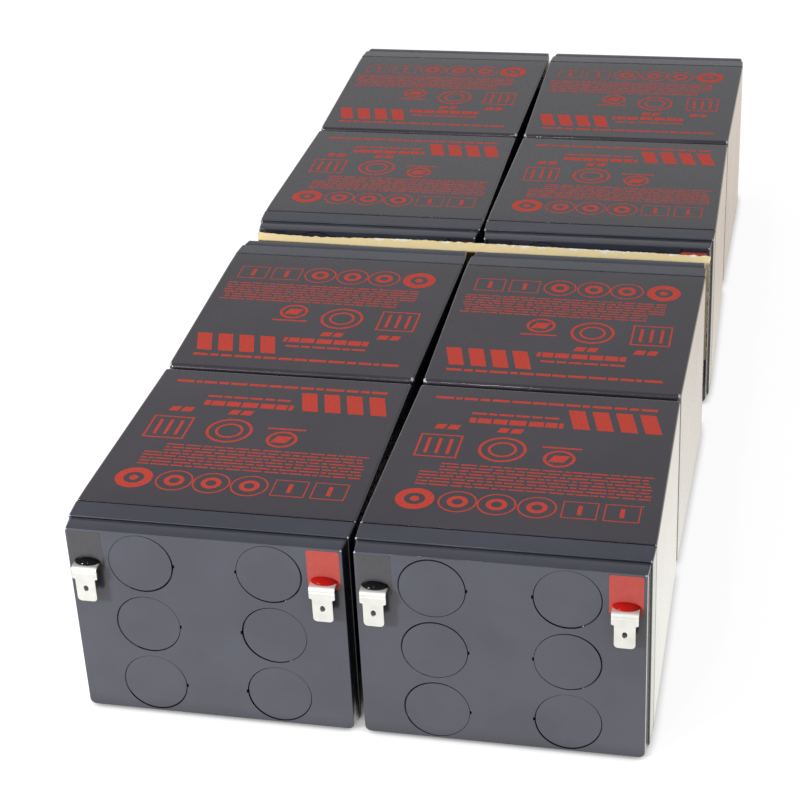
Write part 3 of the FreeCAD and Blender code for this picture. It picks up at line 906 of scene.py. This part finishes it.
def card(middle, length, height):
    """Pressed card: short fibres, pale fluff along its top and its right end, and painted shade low down.
    """
    finish = Finish("cream_card", CARD, 0.8)
    fibres = finish.grain(900.0, 4.0, stretch=(0.35, 1.0, 1.0))
    across = finish.node("ShaderNodeSeparateXYZ", {}, {0: finish.place}, 0) - middle.x
    level = finish.node("ShaderNodeSeparateXYZ", {}, {0: finish.place}, 2) - middle.z
    rising = level + across * math.tan(STRIP_TILT)
    fluff = (finish.grain(260.0, 3.0) - 0.5) * 0.006
    torn = (rising + fluff).over(height * MM / 2 - 0.0002) + (across + fluff).over(length * MM / 2 - 0.0002)
    toned = finish.blend(fibres, shade(CARD, 0.93), shade(CARD, 1.07))
    # Painted shade low down in the gap, left off near the right end.
    unshaded_from = height * MM / 2 - SHADE_PAINTED_FROM
    unshaded = (rising.between(unshaded_from - SHADE_PAINTED_OVER, unshaded_from)
             + across.over(length * MM / 2 - UNSHADED_END))
    finish.set("Base Color", finish.blend(torn, finish.blend(unshaded, shade(CARD, 0.06), toned), CARD_WHITE))
    finish.bump(fibres, 0.00006)
    return finish.material


strip_length, strip_height = strip_size()
strip_middle = middle("terminal_cover_strip")
body = scratch_object(strip_mesh(strip_length, strip_height), "strip")
thick = body.modifiers.new("Thickness", "SOLIDIFY")
thick.thickness, thick.offset = STRIP_THICKNESS, 0.0
mesh = bpy.data.meshes.new_from_object(body.evaluated_get(bpy.context.evaluated_depsgraph_get()))
bpy.data.objects.remove(body)
rear_turn = PLACES[3, "left"].to_3x3().normalized().to_4x4() @ Matrix.Rotation(STRIP_TILT, 4, "Y")
strip_place = Matrix.Translation(strip_middle) @ rear_turn @ Matrix.Scale(MM, 4)
show("torn_card_strip", [(mesh, strip_place)], [card(strip_middle, strip_length, strip_height)],
     "cover_strip", "terminal_cover_strip")
print("card strip", round(strip_length, 2), "x", round(strip_height, 2), "mm")

# %% [markdown]
# ## Foam pads
#
# Neighbouring batteries are stuck together with pads of black foam tape. They are thin and
# almost hidden. Each is a slab whose edges draw in a little where the foam is squeezed.

# %% Model the foam
def foam_finish():
    finish = Finish("black_foam", (0.03, 0.03, 0.03), 0.95)
    pores = finish.node("ShaderNodeTexVoronoi", {}, {"Vector": finish.place, "Scale": 1600.0})
    tone = pores.between(0.1, 0.6)
    finish.set("Base Color", finish.blend(tone, (0.012, 0.012, 0.012), (0.05, 0.05, 0.05)))
    finish.bump(pores, 0.0002)
    return finish.material


def foam_pads(node):
    """Softened copies of a node's pads, each squeezed in at its edges."""
    bm = bmesh.new()
    bm.from_mesh(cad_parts[node].data)
    bmesh.ops.remove_doubles(bm, verts=bm.verts, dist=0.00001)
    bmesh.ops.dissolve_limit(bm, angle_limit=math.radians(5), verts=bm.verts, edges=bm.edges)
    edges = [edge for edge in bm.edges if edge.calc_face_angle(0.0) > SHARP_ANGLE]
    bmesh.ops.bevel(bm, geom=edges, affect="EDGES", offset=0.0005, segments=3, profile=0.5, material=-1)
    bmesh.ops.recalc_face_normals(bm, faces=bm.faces)
    mesh = bpy.data.meshes.new(node)
    bm.to_mesh(mesh)
    bm.free()
    return mesh


FOAM = foam_finish()
for node in ("foam_base_pads", "foam_side_pads"):
    pads = show("soft_" + node, [(foam_pads(node), Matrix.Identity(4))], [FOAM], "foam", node)


# %% [markdown]
# ## What is inside
#
# The plate groups and the lead links between cells stay as the CAD has them, sealed in the
# jars. A plate group is a stack of grey lead plates with white glass mat between, so its
# finish is bands across the stack. The links are cast lead, dull and slightly pitted.

# %% Finishes of the inner pieces
LEAD = (0.16, 0.16, 0.17)
MAT = (0.75, 0.75, 0.72)
PLATE_PITCH = 0.0029


def plate_stack():
    finish = Finish("lead_plates_and_mat", LEAD, 0.7)
    height = finish.node("ShaderNodeSeparateXYZ", {}, {0: finish.place}, 2)
    share = finish.node("ShaderNodeMath", {"operation": "FRACT"}, {0: height * (1 / PLATE_PITCH)})
    bands = share.over(0.55)
    fine = finish.grain(1200.0, 3.0)
    grey = finish.blend(fine, shade(LEAD, 0.8), shade(LEAD, 1.2))
    finish.set("Base Color", finish.blend(bands, grey, MAT))
    finish.set("Roughness", 0.6 + bands * 0.3)
    finish.bump(fine, 0.0001)
    return finish.material


def cast_lead():
    finish = Finish("cast_lead", LEAD, 0.5, Metallic=1.0)
    pits = finish.grain(800.0, 4.0)
    finish.set("Base Color", finish.blend(pits, shade(LEAD, 1.6), shade(LEAD, 2.4)))
    finish.set("Roughness", 0.4 + pits * 0.25)
    finish.bump(pits, 0.0001)
    return finish.material


def repaint(node, material):
    """Give a CAD node its finish without touching its mesh."""
    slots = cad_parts[node].material_slots
    for entry in slots:
        entry.material = material


STACK = plate_stack()
for row, side in PLACES:
    repaint("plates_row%d_%s" % (row, side), STACK)
repaint("cell_links", cast_lead())

# %% [markdown]
# ## Floor, light and background
#
# The cartridge lies on a plain white floor. To most rays the floor is pale and matt, and so
# it fills the sides with light. The camera sees a greyer floor with a glow of its own, which
# fades where the object stands close over it, so that it reads as white with a soft shadow.
# What glossy sides mirror is brightest near the front, and dims and warms towards the back.
# One soft lamp stands to the front and left, and a small one gives edges their glints.

# %% Floor
FLOOR_SHADED = 0.34
FLOOR_GLOW = 0.88
FLOOR_MIRRORED = (0.90, 0.88, 0.83)
FLOOR_MIRRORED_BESIDE = (1.0, 0.985, 0.92)
FLOOR_MIRRORED_FAR = (0.66, 0.58, 0.50)
SHADOW_REACH, MIRRORED_SHADOW_REACH = 0.005, 0.002
CENTRE = (cad_high + cad_low) / 2


def lit_floor():
    """White to the camera and to glossy rays, apart from the shadow; plain pale to all others."""
    finish = Finish("white_floor", (0.8, 0.8, 0.8), 0.9)
    finish.set("Specular IOR Level", 0.0)
    path = finish.tree.nodes.new("ShaderNodeLightPath")
    camera, glossy, clear = (Wire(finish, path.outputs[name]) for name in
                             ("Is Camera Ray", "Is Glossy Ray", "Is Transmission Ray"))
    seen = camera + glossy + clear
    reach = glossy * (MIRRORED_SHADOW_REACH - SHADOW_REACH) + SHADOW_REACH
    uncovered = finish.node("ShaderNodeAmbientOcclusion", {"samples": 8}, {"Distance": reach}, 1)
    open_sky = uncovered.between(0.0, 0.75)
    back = finish.node("ShaderNodeSeparateXYZ", {}, {0: finish.place}, 1)
    beside = finish.blend(back.between(-0.21, -0.19), FLOOR_MIRRORED, FLOOR_MIRRORED_BESIDE)
    pale = finish.blend(back.between(-0.13, 0.13), beside, FLOOR_MIRRORED_FAR)
    mirrored = finish.blend(glossy * open_sky, (0.0, 0.0, 0.0), pale)
    finish.set("Base Color", finish.blend(seen, (0.8, 0.8, 0.8), (FLOOR_SHADED,) * 3))
    finish.set("Emission Color", finish.blend((camera + clear) * open_sky, mirrored, (FLOOR_GLOW,) * 3))
    finish.set("Emission Strength", 1.0)
    return finish.material


bm = bmesh.new()
bmesh.ops.create_grid(bm, x_segments=1, y_segments=1, size=6.0)
floor = scratch_object(bm, "floor")
floor.data.materials.append(lit_floor())

# %% World and lamps
FILL = 0.4
OVERHEAD = 0.38


def studio():
    """White behind the object, dim overhead in reflections, and an even fill."""
    world = bpy.data.worlds.new("studio")
    world.use_nodes = True
    tree = world.node_tree

    def node(kind, values, **settings):
        made = tree.nodes.new(kind)
        for key, value in settings.items():
            setattr(made, key, value)
        for key, value in values.items():
            if isinstance(value, bpy.types.NodeSocket):
                tree.links.new(value, made.inputs[key])
            else:
                made.inputs[key].default_value = value
        return made.outputs[0]

    path = tree.nodes.new("ShaderNodeLightPath")
    coordinates = tree.nodes.new("ShaderNodeTexCoord")
    rise = tree.nodes.new("ShaderNodeSeparateXYZ")
    tree.links.new(coordinates.outputs["Generated"], rise.inputs[0])
    mirrored = node("ShaderNodeMapRange", {"Value": rise.outputs["Z"], "From Min": 0.0, "From Max": 0.25,
                                           "To Min": 1.0, "To Max": OVERHEAD}, clamp=True)
    fill = node("ShaderNodeMix", {"Factor": path.outputs["Is Glossy Ray"], "A": FILL, "B": mirrored})
    whole = node("ShaderNodeMix", {"Factor": path.outputs["Is Camera Ray"], "A": fill, "B": 1.0})
    tree.links.new(whole, tree.nodes["Background"].inputs["Strength"])
    tree.nodes["Background"].inputs["Color"].default_value = (1.0, 1.0, 1.0, 1.0)
    return world


bpy.context.scene.world = studio()


def lamp(name, away, size, power):
    """An area lamp that looks at the object's middle from a direction and distance."""
    data = bpy.data.lights.new(name, "AREA")
    data.shape, data.size, data.energy = "DISK", size, power
    made = bpy.data.objects.new(name, data)
    made.location = CENTRE + Vector(away)
    made.rotation_euler = (CENTRE - made.location).to_track_quat("-Z", "Y").to_euler()
    bpy.context.scene.collection.objects.link(made)
    return made


lamp("soft_key", (-0.95, -1.35, 0.70), 0.25, 27.0)
lamp("glint", (-0.25, -1.2, 1.3), 0.06, 1.5)

# %% [markdown]
# ## Camera
#
# A long lens looks down on the cartridge from the front, a little from the right, and is
# rolled a few degrees. Three vectors hold that view: where the camera stands, where it looks,
# and which way its right side points.

# %% Camera
LENS = 90.7
CAMERA_FROM = Vector((0.13411, -0.69661, 0.40303))
CAMERA_FORWARD = Vector((-0.203110, 0.845846, -0.493244))
CAMERA_RIGHT = Vector((0.977079, 0.207879, -0.045861))

camera_data = bpy.data.cameras.new("camera")
camera_data.lens, camera_data.sensor_width = LENS, 36.0
camera = bpy.data.objects.new("camera", camera_data)
backward = -CAMERA_FORWARD.normalized()
right = CAMERA_RIGHT.normalized()
axes = Matrix((right, backward.cross(right), backward)).transposed()
camera.matrix_world = Matrix.Translation(CAMERA_FROM) @ axes.to_4x4()
bpy.context.scene.collection.objects.link(camera)
bpy.context.scene.camera = camera

# %% Finish
bpy.context.scene.view_settings.view_transform = "Standard"
